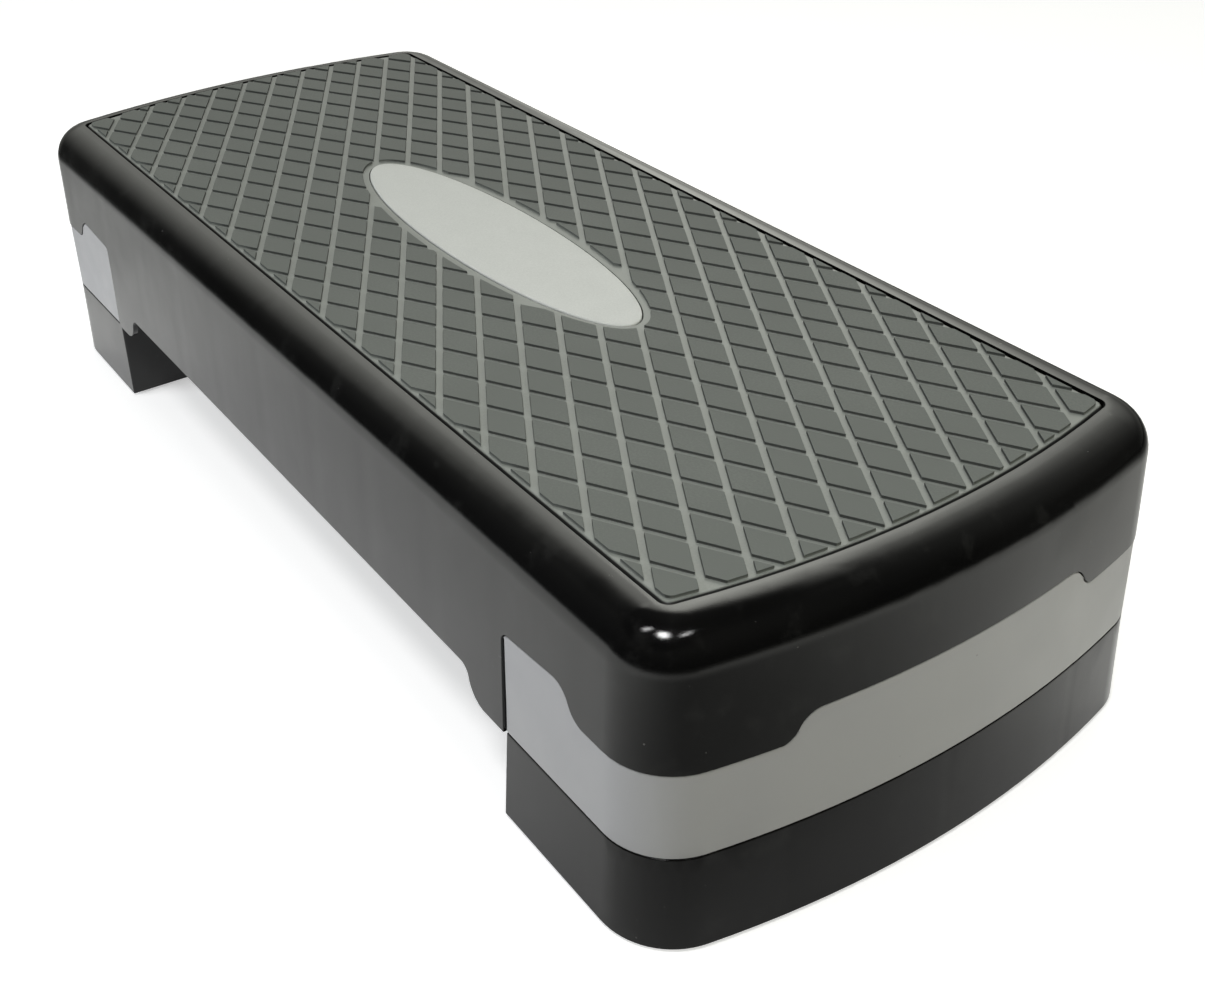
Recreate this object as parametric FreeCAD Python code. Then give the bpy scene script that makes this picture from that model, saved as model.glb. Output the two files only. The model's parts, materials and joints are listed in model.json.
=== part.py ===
import FreeCAD, Part
import math
import os

# Aerobic step platform, in millimetres: X along the step, Y across it, Z up from the floor.
# The right end (+X) is modelled, and the left end is the same set of mouldings turned half round.

# Overall size, measured over the risers at the floor
LENGTH = 680.0
WIDTH = 280.0
END_RADIUS = 510.0        # bow of both ends in plan
CORNER_RADIUS = 34.5      # plan corners between the straight sides and the bowed ends

# Heights
FOOT_STAND = 2.0          # rubber foot that shows below the riser
RISER_HEIGHT = 46.5
DECK_HEIGHT = 101.5       # from the seam on top of the riser to the top of the diamonds
MAT_PROUD = 1.0           # diamonds above the deck's rim

# Walls, draft and clearances of the mouldings
WALL = 3.0
RIB = 2.2
RISER_DRAFT = 3.0         # degrees, wider at the floor
DECK_DRAFT = 3.0          # degrees, wider at the skirt
REVEAL = 1.2              # skirt stands this far proud of the end block
SEAM_GAP = 0.4            # joint line between the skirt and the end block
SEAM_CHAMFER = 0.8        # on the edges of the seam between riser and end block
FIT = 0.4                 # clearance of pegs, pads and lips in their seats
TOOL_REACH = 60.0         # how far a cutting shape runs past the body that it cuts

# Deck rim, mat recess and ribs under the deck
RIM_RADIUS = 19.0
RIM_LAND = 1.6            # flat strip between the round rim and the recess
MAT_GAP = 1.2             # dark line round the mat
DECK_PLATE = 3.5          # plate that carries the mat
RIB_DEPTH = 40.0
END_RIB_DEPTH = 24.0      # shallower where the end blocks reach up
RIB_PITCH_LONG = 56.0     # between the ribs that run across
RIB_PITCH_ACROSS = 40.0   # between the ribs that run along

# Lower edge of the skirt on the long sides
SKIRT_LIFT = 15.0         # straight stretch between the dips, above the tips
DIP_LENGTH = 19.0         # curve from the straight stretch down to the tip
DIP_SHARE = 0.33          # upper arc's share of the dip's curve
TIP_LENGTH = 14.5         # level tip beside the end block

# End block: raised tongue on each side, low shoulder round the corner, raised tab on the end face
BLOCK_LENGTH = 115.5      # from the inner face to the top of the end's bow
TONGUE_RISE = 53.5        # above the seam
TONGUE_CORNER = 4.0
TONGUE_DROP = 2.5         # how much lower the tongue's top is at its inner corner
TONGUE_LENGTH = 36.5
TONGUE_FALL = 20.0        # curve from the tongue down to the shoulder
SHOULDER_RISE = 41.0
TAB_RISE = 53.0
TAB_SIDE = 54.5           # from the long side to the foot of the tab
TAB_BEND = 20.0           # curve from the shoulder up to the tab
TAB_ROOT = 0.5            # the tab's curve meets the shoulder at a slight angle

# Inside the end blocks and risers
BLOCK_PLATE = 4.0
LIP_THICKNESS = 2.4       # lip of the block inside the skirt
LIP_DEPTH = 12.0          # how far the lip's root reaches below the shoulder
LIP_TOP_RISE = 60.0       # top of the lip above the seam
INNER_CORNER = 1.0        # plan corners at the inner face
RISER_FLARE = 2.5         # inner face of the riser leans in at the floor
RISER_PLATE = 4.0
RISER_RIB_LIFT = 6.0      # ribs stop short of the riser's lower edge
SIDE_RIB = 61.0           # from the long side to the nearest rib along the step
CROSS_RIB = 54.0          # from the inner face to the rib across the step
BLOCK_RIB_RISE = 49.0     # top of the block's ribs above the seam

# Places below are pairs: how far from the block's inner face, and how far in from the long side

# Pegs of the risers and their sockets in the end blocks
PEG_DIAMETER = 24.0
PEG_HEIGHT = 12.0
PEG_WALL = 3.0
PEG_CHAMFER = 1.5
SOCKET_WALL = 2.5
SOCKET_DEPTH = 16.0
PEG_INNER = (28.0, 45.0)
PEG_OUTER = (86.0, 97.0)

# Screws of the end blocks, in posts that meet bosses under the deck
SCREW_SHANK = 4.4
SCREW_LENGTH = 16.0
SCREW_HEAD = 9.0
SCREW_HEAD_HEIGHT = 3.0
SCREW_HEAD_CHAMFER = 1.0
SCREW_CLEAR = 0.2
POST_DIAMETER = 15.0
POST_WALL = 2.4
POST_WEB = 4.0
POST_RISE = 61.0          # top of the posts above the seam
BOSS_DIAMETER = 12.0
POST_INNER = (24.0, 99.0)
POST_OUTER = (68.0, 61.0)

# Rubber feet
RISER_FOOT_DIAMETER = 20.0
RISER_FOOT_HEIGHT = 5.0
RISER_FOOT_BOSS = 24.0
RISER_FOOT_INNER = (14.0, 19.0)
RISER_FOOT_OUTER = (80.0, 33.0)
BLOCK_FOOT_DIAMETER = 16.0
BLOCK_FOOT_HEIGHT = 3.0
BLOCK_FOOT_STAND = 1.5    # rubber that stands below the end block
BLOCK_FOOT_INNER = (16.0, 17.0)
BLOCK_FOOT_OUTER = (78.0, 25.0)
FOOT_STEM_DIAMETER = 6.0
FOOT_STEM_LENGTH = 8.0
FOOT_EDGE = 1.0

# Tread mat and badge plate
MAT_BASE = 3.2
MAT_CORNER = 4.0
DIAMOND_RISE = 1.3
DIAMOND_PITCH_LONG = 36.9
DIAMOND_PITCH_ACROSS = 20.9
GROOVE = 3.2              # between two diamonds, square to the groove
MAT_BORDER = 4.2          # low strip round the diamonds
SMALLEST_DIAMOND = 12.0   # square millimetres: smaller clippings are left off
BADGE_LONG = 249.5
BADGE_ACROSS = 58.0
BADGE_GAP = 0.6
BADGE_RING = 5.0          # low strip of mat round the badge
BADGE_SINK = 0.4          # badge below the top of the diamonds

# Heights that follow from those above
SEAM = FOOT_STAND + RISER_HEIGHT
TOP = SEAM + DECK_HEIGHT
RIM_TOP = TOP - MAT_PROUD
GROOVE_TOP = TOP - DIAMOND_RISE
RECESS_FLOOR = GROOVE_TOP - MAT_BASE
PLATE_UNDER = RECESS_FLOOR - DECK_PLATE
SHOULDER = SEAM + SHOULDER_RISE
TONGUE_TOP = SEAM + TONGUE_RISE
TAB_TOP = SEAM + TAB_RISE
POST_TOP = SEAM + POST_RISE

# Places along and across the step that follow from those above
BLOCK_INNER = LENGTH / 2 - BLOCK_LENGTH
DIP_END = BLOCK_INNER - TIP_LENGTH
DIP_START = DIP_END - DIP_LENGTH
TONGUE_END = BLOCK_INNER + TONGUE_LENGTH
SHOULDER_START = TONGUE_END + TONGUE_FALL
TAB_FOOT_HALF = WIDTH / 2 - TAB_SIDE
TAB_TOP_HALF = TAB_FOOT_HALF - TAB_BEND
CROSS_RIB_X = BLOCK_INNER + CROSS_RIB
INNER_RIBS_Y = (SIDE_RIB - WIDTH / 2, 0.0, WIDTH / 2 - SIDE_RIB)

# Insets of the mouldings from the outline at the floor
SEAM_INSET = RISER_HEIGHT * math.tan(math.radians(RISER_DRAFT))
RIM_EDGE_INSET = SEAM_INSET - REVEAL + (RIM_TOP - SEAM) * math.tan(math.radians(DECK_DRAFT))
RIM_SPAN = RIM_RADIUS * math.tan(math.radians((90 - DECK_DRAFT) / 2))
RECESS_INSET = RIM_EDGE_INSET + RIM_SPAN + RIM_LAND
MAT_INSET = RECESS_INSET + MAT_GAP

UP = FreeCAD.Vector(0, 0, 1)


def block_inset(z):
    """Inset of the end block's outer face at height z."""
    return SEAM_INSET + (z - SEAM) * math.tan(math.radians(DECK_DRAFT))


def deck_inset(z):
    """Inset of the skirt's outer face at height z."""
    return block_inset(z) - REVEAL


def riser_inset(z):
    """Inset of the riser's outer face at height z."""
    return (z - FOOT_STAND) * math.tan(math.radians(RISER_DRAFT))


def line(a, b):
    return Part.LineSegment(a, b).toShape()


def arc_about(centre, start, end):
    """The short arc from start to end about a centre, flat in XY."""
    middle = (start + end) * 0.5 - centre
    middle = middle * ((start - centre).Length / middle.Length) + centre
    return Part.Arc(start, middle, end).toShape()


def plan_points(inset, corner, z):
    """Tangent points and arc centres of the plan outline's +X, +Y quarter."""
    half_length = LENGTH / 2 - inset
    half_width = WIDTH / 2 - inset
    radius = END_RADIUS - inset
    bow_centre = FreeCAD.Vector(half_length - radius, 0, z)
    reach = math.sqrt((radius - corner) ** 2 - (half_width - corner) ** 2)
    corner_centre = FreeCAD.Vector(bow_centre.x + reach, half_width - corner, z)
    on_side = FreeCAD.Vector(corner_centre.x, half_width, z)
    on_end = bow_centre + (corner_centre - bow_centre) * (radius / (radius - corner))
    tip = FreeCAD.Vector(half_length, 0, z)
    return on_side, on_end, tip, corner_centre


def mirrored(point, x=1, y=1):
    return FreeCAD.Vector(point.x * x, point.y * y, point.z)


def plan_wire(inset, z, corner=None):
    """Closed outline of the whole step: straight sides, bowed ends, round corners."""
    if corner is None:
        corner = CORNER_RADIUS - inset
    on_side, on_end, tip, centre = plan_points(inset, corner, z)
    edges = []
    for sign in (1, -1):
        side_a, side_b = mirrored(on_side, sign, -sign), mirrored(on_side, sign, sign)
        end_a, end_b = mirrored(on_end, sign, -sign), mirrored(on_end, sign, sign)
        edges.append(arc_about(mirrored(centre, sign, -sign), side_a, end_a))
        edges.append(Part.Arc(end_a, mirrored(tip, sign), end_b).toShape())
        edges.append(arc_about(mirrored(centre, sign, sign), end_b, side_b))
        edges.append(line(side_b, mirrored(side_b, -1)))
    return Part.Wire(edges)


def end_wire(inset, z, inner, inner_corner=INNER_CORNER):
    """Closed outline of the step's right end, from a straight inner face to the bowed end."""
    on_side, on_end, tip, centre = plan_points(inset, CORNER_RADIUS - inset, z)
    half_width = on_side.y
    turn = FreeCAD.Vector(inner + inner_corner, half_width - inner_corner, z)
    inner_side = FreeCAD.Vector(turn.x, half_width, z)
    inner_face = FreeCAD.Vector(inner, turn.y, z)
    edges = [
        line(mirrored(inner_side, 1, -1), mirrored(on_side, 1, -1)),
        arc_about(mirrored(centre, 1, -1), mirrored(on_side, 1, -1), mirrored(on_end, 1, -1)),
        Part.Arc(mirrored(on_end, 1, -1), tip, on_end).toShape(),
        arc_about(centre, on_end, on_side),
        line(on_side, inner_side),
        arc_about(turn, inner_side, inner_face),
        line(inner_face, mirrored(inner_face, 1, -1)),
        arc_about(mirrored(turn, 1, -1), mirrored(inner_face, 1, -1), mirrored(inner_side, 1, -1)),
    ]
    return Part.Wire(edges)


def drafted(wires):
    return Part.makeLoft(wires, True, True)


def box(x0, x1, y0, y1, z0, z1):
    return Part.makeBox(x1 - x0, y1 - y0, z1 - z0, FreeCAD.Vector(x0, y0, z0))


def upright(diameter, z0, z1, x=0.0, y=0.0):
    return Part.makeCylinder(diameter / 2, z1 - z0, FreeCAD.Vector(x, y, z0), UP)


def both_sides(places):
    """Each place at the right end of the step, in front of and behind its middle."""
    return [(BLOCK_INNER + ahead, side * (WIDTH / 2 - aside)) for ahead, aside in places for side in (-1, 1)]


def s_bend(start, end, share=0.5):
    """Two arcs from start to end, level at both ends. Points are pairs across and up."""
    across, up = end[0] - start[0], end[1] - start[1]
    turn = 2 * math.atan2(abs(up), abs(across))
    radius = abs(across) / math.sin(turn)
    first = radius * share
    ahead, rise = math.copysign(1, across), math.copysign(1, up)

    def along(centre_up, r, angle, origin, way):
        return (origin + way * ahead * r * math.sin(angle), centre_up - way * rise * r * math.cos(angle))

    lower = start[1] + rise * first
    upper = end[1] - rise * (radius - first)
    meet = along(lower, first, turn, start[0], 1)
    return [
        (start, along(lower, first, turn / 2, start[0], 1), meet),
        (meet, along(upper, radius - first, turn / 2, end[0], -1), end),
    ]


def profile_face(path, place):
    """Face inside a closed path of points and three-point arcs, set in space by place(across, up)."""
    edges = []
    last = None
    for step in path:
        arc = isinstance(step[0], tuple)
        start = step[0] if arc else step
        if last is not None and math.dist(last, start) > 1e-6:
            edges.append(line(place(*last), place(*start)))
        if arc:
            edges.append(Part.Arc(*[place(*p) for p in step]).toShape())
        last = step[-1] if arc else step
    first = path[0][0] if isinstance(path[0][0], tuple) else path[0]
    edges.append(line(place(*last), place(*first)))
    return Part.Face(Part.Wire(edges))


def side_opening(gap):
    """Space below the skirt's edge beside the right end block, seen from the long side."""
    inner = BLOCK_INNER + gap
    top, shoulder = TONGUE_TOP - gap, SHOULDER - gap
    near = TONGUE_CORNER * (1 - math.sqrt(0.5))
    low_top = top - TONGUE_DROP
    corner = ((inner, low_top - TONGUE_CORNER), (inner + near, low_top - near), (inner + TONGUE_CORNER, low_top))
    fall = s_bend((TONGUE_END - gap, top), (SHOULDER_START - gap, shoulder))
    far, low = LENGTH / 2 + TOOL_REACH, SEAM - TOOL_REACH
    path = [(inner, low), corner, *fall, (far, shoulder), (far, low)]
    face = profile_face(path, lambda x, z: FreeCAD.Vector(x, -WIDTH, z))
    return face.extrude(FreeCAD.Vector(0, 2 * WIDTH, 0))


def tab_opening(gap):
    """Space below the skirt's edge in the middle of the right end, seen from the end."""
    top, foot = TAB_TOP - gap, SHOULDER - gap - TAB_ROOT
    low = foot - LIP_DEPTH
    rise = s_bend((-TAB_FOOT_HALF + gap, foot), (-TAB_TOP_HALF + gap, top))
    fall = s_bend((TAB_TOP_HALF - gap, top), (TAB_FOOT_HALF - gap, foot))
    path = [(-TAB_FOOT_HALF + gap, low), *rise, *fall, (TAB_FOOT_HALF - gap, low)]
    face = profile_face(path, lambda y, z: FreeCAD.Vector(SHOULDER_START, y, z))
    return face.extrude(FreeCAD.Vector(LENGTH / 2 + TOOL_REACH - SHOULDER_START, 0, 0))


def arch_opening():
    """Space below the skirt's edge between the tips, with the dip down to each tip."""
    edge, low = SEAM + SKIRT_LIFT, SEAM - TOOL_REACH
    down = s_bend((DIP_START, edge), (DIP_END, SEAM), DIP_SHARE)
    up = s_bend((-DIP_END, SEAM), (-DIP_START, edge), 1 - DIP_SHARE)
    far = BLOCK_INNER + TOOL_REACH / 2
    path = [(-far, low), (-far, SEAM), *up, *down, (far, SEAM), (far, low)]
    face = profile_face(path, lambda x, z: FreeCAD.Vector(x, -WIDTH, z))
    return face.extrude(FreeCAD.Vector(0, 2 * WIDTH, 0))


def turned(shape):
    """The same piece at the left end of the step."""
    return shape.rotated(FreeCAD.Vector(0, 0, 0), UP, 180)


def edges_at(shape, z):
    """Edges that lie level at height z."""
    return [e for e in shape.Edges if abs(e.BoundBox.ZMin - z) < 1e-4 and abs(e.BoundBox.ZMax - z) < 1e-4]


def deck_form(extra, bottom, top, rim):
    """Drafted body with the deck's outline, inset by extra, with a round upper edge."""
    wires = [plan_wire(deck_inset(z) + extra, z) for z in (bottom, top)]
    body = drafted(wires)
    return body.makeFillet(rim, edges_at(body, top))


def deck_ribs(inner):
    """Rib grid under the plate, deeper between the end blocks than above them."""
    half_length, half_width = LENGTH / 2, WIDTH / 2
    along = int(half_width // RIB_PITCH_ACROSS)
    across = int(half_length // RIB_PITCH_LONG)
    grid = []
    for depth, reach in ((RIB_DEPTH, BLOCK_INNER - SEAM_GAP), (END_RIB_DEPTH, half_length)):
        low = PLATE_UNDER - depth
        for i in range(-along, along + 1):
            y = i * RIB_PITCH_ACROSS
            grid.append(box(-reach, reach, y - RIB / 2, y + RIB / 2, low, PLATE_UNDER))
        for i in range(-across, across + 1):
            x = i * RIB_PITCH_LONG
            if abs(x) < reach:
                grid.append(box(x - RIB / 2, x + RIB / 2, -half_width, half_width, low, PLATE_UNDER))
    return grid[0].multiFuse(grid[1:]).common(inner)


def deck_shell():
    bottom = SEAM - LIP_DEPTH
    outer = deck_form(0, bottom, RIM_TOP, RIM_RADIUS)
    inner = deck_form(WALL, bottom - TOOL_REACH, PLATE_UNDER, RIM_RADIUS - (RIM_TOP - PLATE_UNDER))
    half_width = WIDTH / 2
    inside = [deck_ribs(inner)]
    for sign in (1, -1):
        face = sign * (BLOCK_INNER - SEAM_GAP)
        wall = box(min(face, face - sign * WALL), max(face, face - sign * WALL),
                   -half_width, half_width, bottom, PLATE_UNDER)
        inside.append(wall.common(inner))
        for x, y in both_sides((POST_INNER, POST_OUTER)):
            inside.append(upright(BOSS_DIAMETER, POST_TOP, PLATE_UNDER, sign * x, y))
    shell = outer.cut(inner).multiFuse(inside)
    recess = Part.Face(plan_wire(RECESS_INSET, RECESS_FLOOR, MAT_CORNER + MAT_GAP)).extrude(UP * TOOL_REACH)
    cuts = [recess, arch_opening()]
    for end in (side_opening(0), tab_opening(0)):
        cuts += [end, turned(end)]
    pilot_end = POST_TOP + SCREW_LENGTH - POST_WEB + SCREW_CLEAR
    for x, y in both_sides((POST_INNER, POST_OUTER)):
        for sign in (1, -1):
            cuts.append(upright(SCREW_SHANK + 2 * SCREW_CLEAR, POST_TOP - WALL, pilot_end, sign * x, y))
    for tool in cuts:
        shell = shell.cut(tool)
    return shell.removeSplitter()


def end_block():
    """Grey block of the right end: stepped wall, lip, bottom plate, sockets, posts and ribs."""
    face = BLOCK_INNER + SEAM_GAP
    top = TONGUE_TOP + TOOL_REACH
    heights = (SEAM, SEAM + SEAM_CHAMFER, top)
    insets = (SEAM_INSET + SEAM_CHAMFER, block_inset(heights[1]), block_inset(top))
    outer = drafted([end_wire(i, z, face) for i, z in zip(insets, heights)])
    openings = side_opening(SEAM_GAP).fuse(tab_opening(SEAM_GAP))
    plate_top = SEAM + BLOCK_PLATE
    hollow = drafted([end_wire(block_inset(z) + WALL, z, face + WALL) for z in (plate_top, top)])
    block = outer.common(openings).cut(hollow)

    lip_low, lip_high = SHOULDER - LIP_DEPTH, SEAM + LIP_TOP_RISE
    lip_outer = WALL + FIT - REVEAL
    ring = [drafted([end_wire(block_inset(z) + d, z, face + d) for z in (lip_low, lip_high)])
            for d in (lip_outer, lip_outer + LIP_THICKNESS)]
    added = [ring[0].cut(ring[1])]
    rib_top = SEAM + BLOCK_RIB_RISE
    ribs = [box(face, LENGTH / 2, y - RIB / 2, y + RIB / 2, plate_top, rib_top) for y in INNER_RIBS_Y]
    ribs.append(box(CROSS_RIB_X - RIB / 2, CROSS_RIB_X + RIB / 2, -WIDTH / 2, WIDTH / 2, plate_top, rib_top))
    added += [rib.common(hollow) for rib in ribs]
    socket = PEG_DIAMETER + 2 * FIT
    cuts = []
    for x, y in both_sides((PEG_INNER, PEG_OUTER)):
        added.append(upright(socket + 2 * SOCKET_WALL, SEAM, SEAM + SOCKET_DEPTH, x, y))
        cuts.append(upright(socket, SEAM - TOOL_REACH, SEAM + SOCKET_DEPTH + RIB, x, y))
    for x, y in both_sides((POST_INNER, POST_OUTER)):
        added.append(upright(POST_DIAMETER, SEAM, POST_TOP, x, y))
        cuts.append(upright(POST_DIAMETER - 2 * POST_WALL, SEAM - TOOL_REACH, POST_TOP - POST_WEB, x, y))
        cuts.append(upright(SCREW_SHANK + 2 * SCREW_CLEAR, SEAM, POST_TOP + WALL, x, y))
    seat = SEAM + BLOCK_FOOT_HEIGHT - BLOCK_FOOT_STAND
    for x, y in both_sides((BLOCK_FOOT_INNER, BLOCK_FOOT_OUTER)):
        cuts.append(upright(BLOCK_FOOT_DIAMETER + 2 * FIT, SEAM - TOOL_REACH, seat, x, y))
        cuts.append(upright(FOOT_STEM_DIAMETER + 2 * FIT, SEAM, plate_top + WALL, x, y))
    block = block.multiFuse(added)
    for tool in cuts:
        block = block.cut(tool)
    return block.removeSplitter()


def riser_form(thickness, bottom, top):
    """Body of the right riser, thickness inside its outer face, chamfered at the seam if it gets that far."""
    def wire(z, chamfer=0.0):
        lean = RISER_FLARE * (SEAM - z) / RISER_HEIGHT
        return end_wire(riser_inset(z) + thickness + chamfer, z, BLOCK_INNER + SEAM_GAP - lean + thickness)
    if top < SEAM:
        return drafted([wire(bottom), wire(top)])
    return drafted([wire(bottom), wire(SEAM - SEAM_CHAMFER), wire(SEAM, SEAM_CHAMFER)])


def riser():
    """Black lower block of the right end: open below, ribbed inside, with hollow pegs on top."""
    plate_under = SEAM - RISER_PLATE
    hollow = riser_form(WALL, FOOT_STAND - WALL, plate_under)
    body = riser_form(0, FOOT_STAND, SEAM).cut(hollow)
    low = FOOT_STAND + RISER_RIB_LIFT
    ribs = [box(BLOCK_INNER - RISER_FLARE, LENGTH / 2, y - RIB / 2, y + RIB / 2, low, plate_under)
            for y in INNER_RIBS_Y]
    ribs.append(box(CROSS_RIB_X - RIB / 2, CROSS_RIB_X + RIB / 2, -WIDTH / 2, WIDTH / 2, low, plate_under))
    added = [rib.common(hollow) for rib in ribs]
    cuts = []
    for x, y in both_sides((PEG_INNER, PEG_OUTER)):
        peg = upright(PEG_DIAMETER, plate_under, SEAM + PEG_HEIGHT, x, y)
        added.append(peg.makeChamfer(PEG_CHAMFER, edges_at(peg, SEAM + PEG_HEIGHT)))
        cuts.append(upright(PEG_DIAMETER - 2 * PEG_WALL, FOOT_STAND, SEAM + PEG_HEIGHT - PEG_WALL, x, y))
    for x, y in both_sides((BLOCK_FOOT_INNER, BLOCK_FOOT_OUTER)):
        cuts.append(upright(BLOCK_FOOT_DIAMETER + 4 * FIT, SEAM - BLOCK_FOOT_STAND - FIT, SEAM + WALL, x, y))
    stem_end = RISER_FOOT_HEIGHT + FOOT_STEM_LENGTH + FIT
    for x, y in both_sides((RISER_FOOT_INNER, RISER_FOOT_OUTER)):
        added.append(upright(RISER_FOOT_BOSS, RISER_FOOT_HEIGHT, plate_under, x, y).common(hollow))
        cuts.append(upright(FOOT_STEM_DIAMETER + 2 * FIT, FOOT_STAND, stem_end, x, y))
    body = body.multiFuse(added)
    for tool in cuts:
        body = body.cut(tool)
    return body.removeSplitter()


def foot(diameter, height, stem, x, y, z):
    """Round rubber pad with a stem that holds it in its seat, standing on height z."""
    pad = upright(diameter, z, z + height, x, y)
    pad = pad.makeChamfer(FOOT_EDGE, edges_at(pad, z))
    return pad.fuse(upright(FOOT_STEM_DIAMETER, z + height, z + height + stem, x, y)).removeSplitter()


def screw(x, y):
    """Pan-head screw of an end block, with a plain shank."""
    seat = POST_TOP - POST_WEB
    low = seat - SCREW_HEAD_HEIGHT
    head = upright(SCREW_HEAD, low, seat, x, y)
    head = head.makeChamfer(SCREW_HEAD_CHAMFER, edges_at(head, low))
    return head.fuse(upright(SCREW_SHANK, seat, seat + SCREW_LENGTH, x, y)).removeSplitter()


def ellipse_face(long_axis, short_axis, z):
    curve = Part.Ellipse(FreeCAD.Vector(0, 0, z), long_axis / 2, short_axis / 2)
    return Part.Face(Part.Wire([curve.toShape()]))


def diamonds(field):
    """Raised diamonds of the tread, clipped by the field's outline and the ring round the badge."""
    half_long, half_across = DIAMOND_PITCH_LONG / 2, DIAMOND_PITCH_ACROSS / 2
    slope = math.atan2(half_across, half_long)
    long_tip = half_long - GROOVE / 2 / math.sin(slope)
    across_tip = half_across - GROOVE / 2 / math.cos(slope)
    columns = int(LENGTH / 2 // half_long) + 1
    rows = int(WIDTH / 2 // half_across) + 1
    faces = []
    for i in range(-columns, columns + 1):
        for j in range(-rows, rows + 1):
            if (i + j) % 2:
                continue
            x, y = i * half_long, j * half_across
            tips = [(x + long_tip, y), (x, y + across_tip), (x - long_tip, y), (x, y - across_tip)]
            points = [FreeCAD.Vector(a, b, GROOVE_TOP) for a, b in tips]
            faces.append(Part.Face(Part.makePolygon(points + points[:1])))
    clipped = field.common(Part.Compound(faces))
    return [face.extrude(UP * DIAMOND_RISE) for face in clipped.Faces if face.Area > SMALLEST_DIAMOND]


def tread_mat():
    plan = Part.Face(plan_wire(MAT_INSET, RECESS_FLOOR, MAT_CORNER))
    hole = ellipse_face(BADGE_LONG + 2 * BADGE_GAP, BADGE_ACROSS + 2 * BADGE_GAP, RECESS_FLOOR)
    base = plan.cut(hole).extrude(UP * MAT_BASE)
    field = Part.Face(plan_wire(MAT_INSET + MAT_BORDER, GROOVE_TOP, MAT_CORNER))
    ring = ellipse_face(BADGE_LONG + 2 * BADGE_RING, BADGE_ACROSS + 2 * BADGE_RING, GROOVE_TOP)
    return base.multiFuse(diamonds(field.cut(ring)))


def badge_plate():
    top = TOP - BADGE_SINK
    plate = ellipse_face(BADGE_LONG, BADGE_ACROSS, RECESS_FLOOR).extrude(UP * (top - RECESS_FLOOR))
    return plate.makeChamfer(BADGE_GAP, edges_at(plate, top))


def feet(side):
    """Rubber feet of one end by name: four under the riser, four under the end block."""
    pieces = {}
    kinds = (
        ("riser_foot", RISER_FOOT_DIAMETER, RISER_FOOT_HEIGHT, FOOT_STEM_LENGTH, 0.0,
         (RISER_FOOT_INNER, RISER_FOOT_OUTER)),
        ("block_foot", BLOCK_FOOT_DIAMETER, BLOCK_FOOT_HEIGHT, BLOCK_PLATE - BLOCK_FOOT_STAND,
         SEAM - BLOCK_FOOT_STAND, (BLOCK_FOOT_INNER, BLOCK_FOOT_OUTER)),
    )
    end = 1 if side == "right" else -1
    for name, diameter, height, stem, z, places in kinds:
        for place, where in zip(("inner", "outer"), places):
            for row, (x, y) in zip(("front", "back"), both_sides([where])):
                pieces[f"{name}_{side}_{row}_{place}"] = foot(diameter, height, stem, end * x, y, z)
    return pieces


def build():
    """All pieces of the step by name."""
    block, lower = end_block(), riser()
    screws = Part.Compound([screw(x, y) for x, y in both_sides((POST_INNER, POST_OUTER))])
    pieces = {
        "deck_shell": deck_shell(),
        "tread_mat": tread_mat(),
        "badge_plate": badge_plate(),
        "end_block_right": block,
        "end_block_left": turned(block),
        "riser_right": lower,
        "riser_left": turned(lower),
        "block_screws_right": screws,
        "block_screws_left": turned(screws),
    }
    for side in ("right", "left"):
        pieces.update(feet(side))
    return pieces


os.makedirs("parts", exist_ok=True)
for node, shape in build().items():
    shape.exportStep(f"parts/{node}.step")
    print(node, len(shape.Solids), "solid(s)", round(shape.Volume / 1000, 1), "cm3")
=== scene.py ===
"""Aerobic step platform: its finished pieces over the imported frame, and the stage for its picture."""

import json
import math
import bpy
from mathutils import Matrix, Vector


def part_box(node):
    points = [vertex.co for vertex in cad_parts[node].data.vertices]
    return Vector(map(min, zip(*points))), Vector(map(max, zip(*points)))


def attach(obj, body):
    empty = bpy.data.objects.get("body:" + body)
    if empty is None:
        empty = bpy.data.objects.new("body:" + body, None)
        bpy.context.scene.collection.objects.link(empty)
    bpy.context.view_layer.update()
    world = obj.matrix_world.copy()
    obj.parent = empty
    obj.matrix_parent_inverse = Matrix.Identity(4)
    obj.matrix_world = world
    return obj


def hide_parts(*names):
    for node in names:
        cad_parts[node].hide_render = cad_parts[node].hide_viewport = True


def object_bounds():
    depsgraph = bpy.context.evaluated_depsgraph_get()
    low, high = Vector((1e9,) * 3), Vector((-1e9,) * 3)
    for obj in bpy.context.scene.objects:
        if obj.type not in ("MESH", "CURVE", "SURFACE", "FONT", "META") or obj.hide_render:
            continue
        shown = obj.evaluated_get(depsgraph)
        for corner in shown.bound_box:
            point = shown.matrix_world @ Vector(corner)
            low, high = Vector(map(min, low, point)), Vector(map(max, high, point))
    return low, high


bl_info = {
    "name": "Aerobic step platform",
    "version": (1, 0, 0),
    "blender": (4, 5, 0),
    "location": "View3D > Sidebar > Step",
    "description": "Moulded exercise step with a diamond tread mat, end blocks and lift-off risers",
    "category": "Add Mesh",
}

import bmesh
import bpy
from bpy.props import FloatProperty, FloatVectorProperty, PointerProperty
from mathutils import Matrix, Vector

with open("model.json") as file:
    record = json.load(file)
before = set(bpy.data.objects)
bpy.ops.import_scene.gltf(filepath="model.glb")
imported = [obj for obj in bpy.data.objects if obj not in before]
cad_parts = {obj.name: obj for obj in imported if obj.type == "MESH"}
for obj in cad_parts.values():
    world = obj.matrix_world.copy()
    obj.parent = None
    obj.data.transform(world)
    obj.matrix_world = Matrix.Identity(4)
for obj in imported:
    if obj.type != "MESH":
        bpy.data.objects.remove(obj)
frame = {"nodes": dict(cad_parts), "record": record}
CAD_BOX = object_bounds()

BODY_OF = {
    node: body
    for body, nodes in frame["record"]["behaviour"]["bodies"].items()
    for node in nodes
}
ENDS = ("left", "right")

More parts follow.
